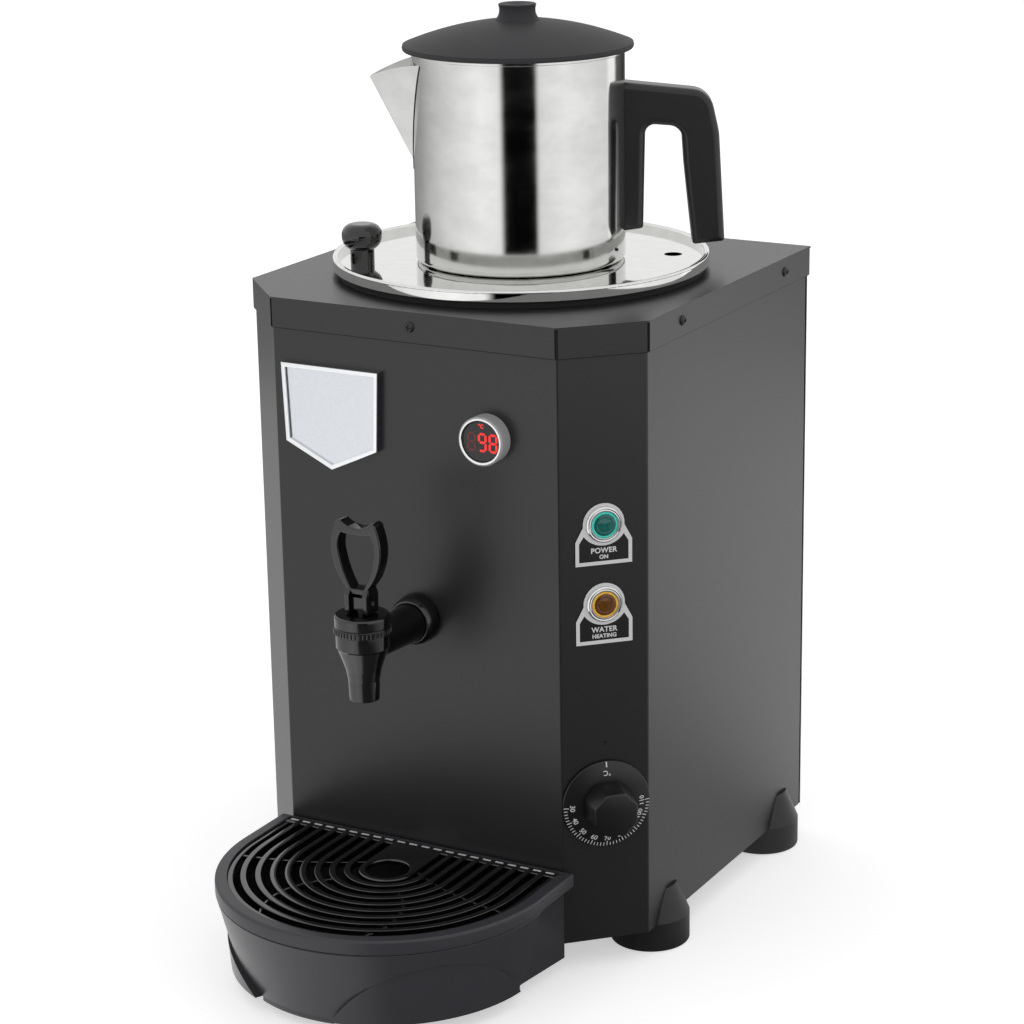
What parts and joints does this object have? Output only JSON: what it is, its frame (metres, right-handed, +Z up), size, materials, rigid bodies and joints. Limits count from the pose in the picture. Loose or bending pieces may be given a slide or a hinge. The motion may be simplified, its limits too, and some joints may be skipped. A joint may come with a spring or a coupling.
{
  "type": "tea urn",
  "caption": "Countertop tea urn: black sheet steel casing over a stainless tank, lever tap, drip tray, thermostat knob and a teapot kept warm on its lid.",
  "frame": {"origin": "centre of the footprint on the surface that the feet and the drip tray stand on", "axes": "+Z up, -Y towards the front with the tap and the drip tray, +X to the right seen from the front"},
  "size_m": [0.301, 0.4454, 0.5853],
  "materials": {
    "painted_steel": "satin black powder coat",
    "black_screw": "blackened steel",
    "foot_plastic": "moulded, fine grain",
    "stainless": "bright stainless",
    "pot_steel": "fine circular brush",
    "mirror_steel": "polished stainless",
    "rubber": "black rubber",
    "brass": "turned brass",
    "copper": "drawn copper",
    "black_bakelite": "polished black",
    "knob_plastic": "polished black with white numbers",
    "plated_steel": "zinc plated",
    "ceramic": "white steatite",
    "label_plate": "black with a pale outline",
    "chrome_trim": "chrome plated",
    "green_jewel": "green lens",
    "amber_jewel": "amber lens",
    "inner_plastic": "moulded nylon",
    "display_glass": "smoked window with red figures",
    "badge_metal": "polished, bare",
    "tray_plastic": "glossy moulded",
    "lid_plastic": "satin black"
  },
  "bodies": {
    "root": {"housing_shell": "painted_steel", "back_panel": "painted_steel", "base_pan": "painted_steel", "top_cover": "painted_steel", "cover_screws": "black_screw", "back_screws": "black_screw", "foot_front_left": "foot_plastic", "foot_front_right": "foot_plastic", "foot_back_left": "foot_plastic", "foot_back_right": "foot_plastic", "foot_screws": "black_screw", "tank": "stainless", "tank_gasket": "rubber", "heating_element": "stainless", "heater_head": "brass", "heater_gasket": "rubber", "heater_nut": "brass", "overheat_limiter": "plated_steel", "terminal_block": "ceramic", "thermostat_body": "plated_steel", "thermostat_capillary": "copper", "thermostat_bulb": "stainless", "lamp_label_power": "label_plate", "lamp_label_heat": "label_plate", "lamp_bezel_power": "chrome_trim", "lamp_bezel_heat": "chrome_trim", "lamp_jewel_power": "green_jewel", "lamp_jewel_heat": "amber_jewel", "lamp_body_power": "inner_plastic", "lamp_body_heat": "inner_plastic", "thermometer_bezel": "chrome_trim", "thermometer_display": "display_glass", "thermometer_body": "inner_plastic", "thermometer_probe": "stainless", "badge_plate": "badge_metal", "tap_body": "black_bakelite", "tap_collar": "black_bakelite", "tap_bonnet": "black_bakelite", "tap_gasket": "rubber", "tap_nut": "brass", "cable_gland": "inner_plastic", "gland_nut": "inner_plastic", "tap_spring": "stainless"},
    "tap_valve": {"tap_stem": "black_bakelite", "tap_cup": "rubber", "tap_pin": "stainless"},
    "tap_lever": {"tap_lever": "black_bakelite"},
    "thermostat_knob": {"thermostat_knob": "knob_plastic", "thermostat_shaft": "plated_steel"},
    "drip_tray": {"drip_tray": "tray_plastic"},
    "drip_grille": {"drip_grille": "tray_plastic"},
    "tank_lid": {"tank_lid": "mirror_steel", "tank_lid_knob": "black_bakelite", "tank_lid_screw": "stainless"},
    "teapot": {"teapot_body": "pot_steel", "teapot_spout": "stainless", "teapot_handle": "black_bakelite", "teapot_screws": "stainless"},
    "teapot_lid": {"teapot_lid": "lid_plastic", "teapot_lid_knob": "lid_plastic"}
  },
  "joints": [
    {"name": "tap_valve_lift", "type": "slide", "parent": "root", "child": "tap_valve", "axis": [0, 0, 1], "range_m": [0, 0.0021], "deforming": ["tap_spring"]},
    {"name": "tap_lever_tilt", "type": "hinge", "parent": "tap_valve", "child": "tap_lever", "pos_m": [0, -0.13475, 0.2507], "axis": [1, 0, 0], "range_deg": [0, 45], "stiffness_Nm_per_rad": 0.15},
    {"name": "thermostat_turn", "type": "hinge", "parent": "root", "child": "thermostat_knob", "pos_m": [0.12, -0.04925, 0.1113], "axis": [-0.7071, 0.7071, 0], "range_deg": [0, 280]},
    {"name": "drip_tray_pull", "type": "slide", "parent": "root", "child": "drip_tray", "axis": [0, -1, 0], "range_m": [0, 0.16]},
    {"name": "drip_grille_lift", "type": "slide", "parent": "drip_tray", "child": "drip_grille", "axis": [0, 0, 1], "range_m": [0, 0.06]},
    {"name": "tank_lid_lift", "type": "slide", "parent": "root", "child": "tank_lid", "axis": [0, 0, 1], "range_m": [0, 0.12]},
    {"name": "teapot_lift", "type": "slide", "parent": "tank_lid", "child": "teapot", "axis": [0, 0, 1], "range_m": [0, 0.15]},
    {"name": "teapot_lid_lift", "type": "slide", "parent": "teapot", "child": "teapot_lid", "axis": [0, 0, 1], "range_m": [0, 0.08]}
  ],
  "couplings": [
    {"joint": "tap_valve_lift", "follows": "tap_lever_tilt", "m_per_rad": 0.0025465}
  ]
}
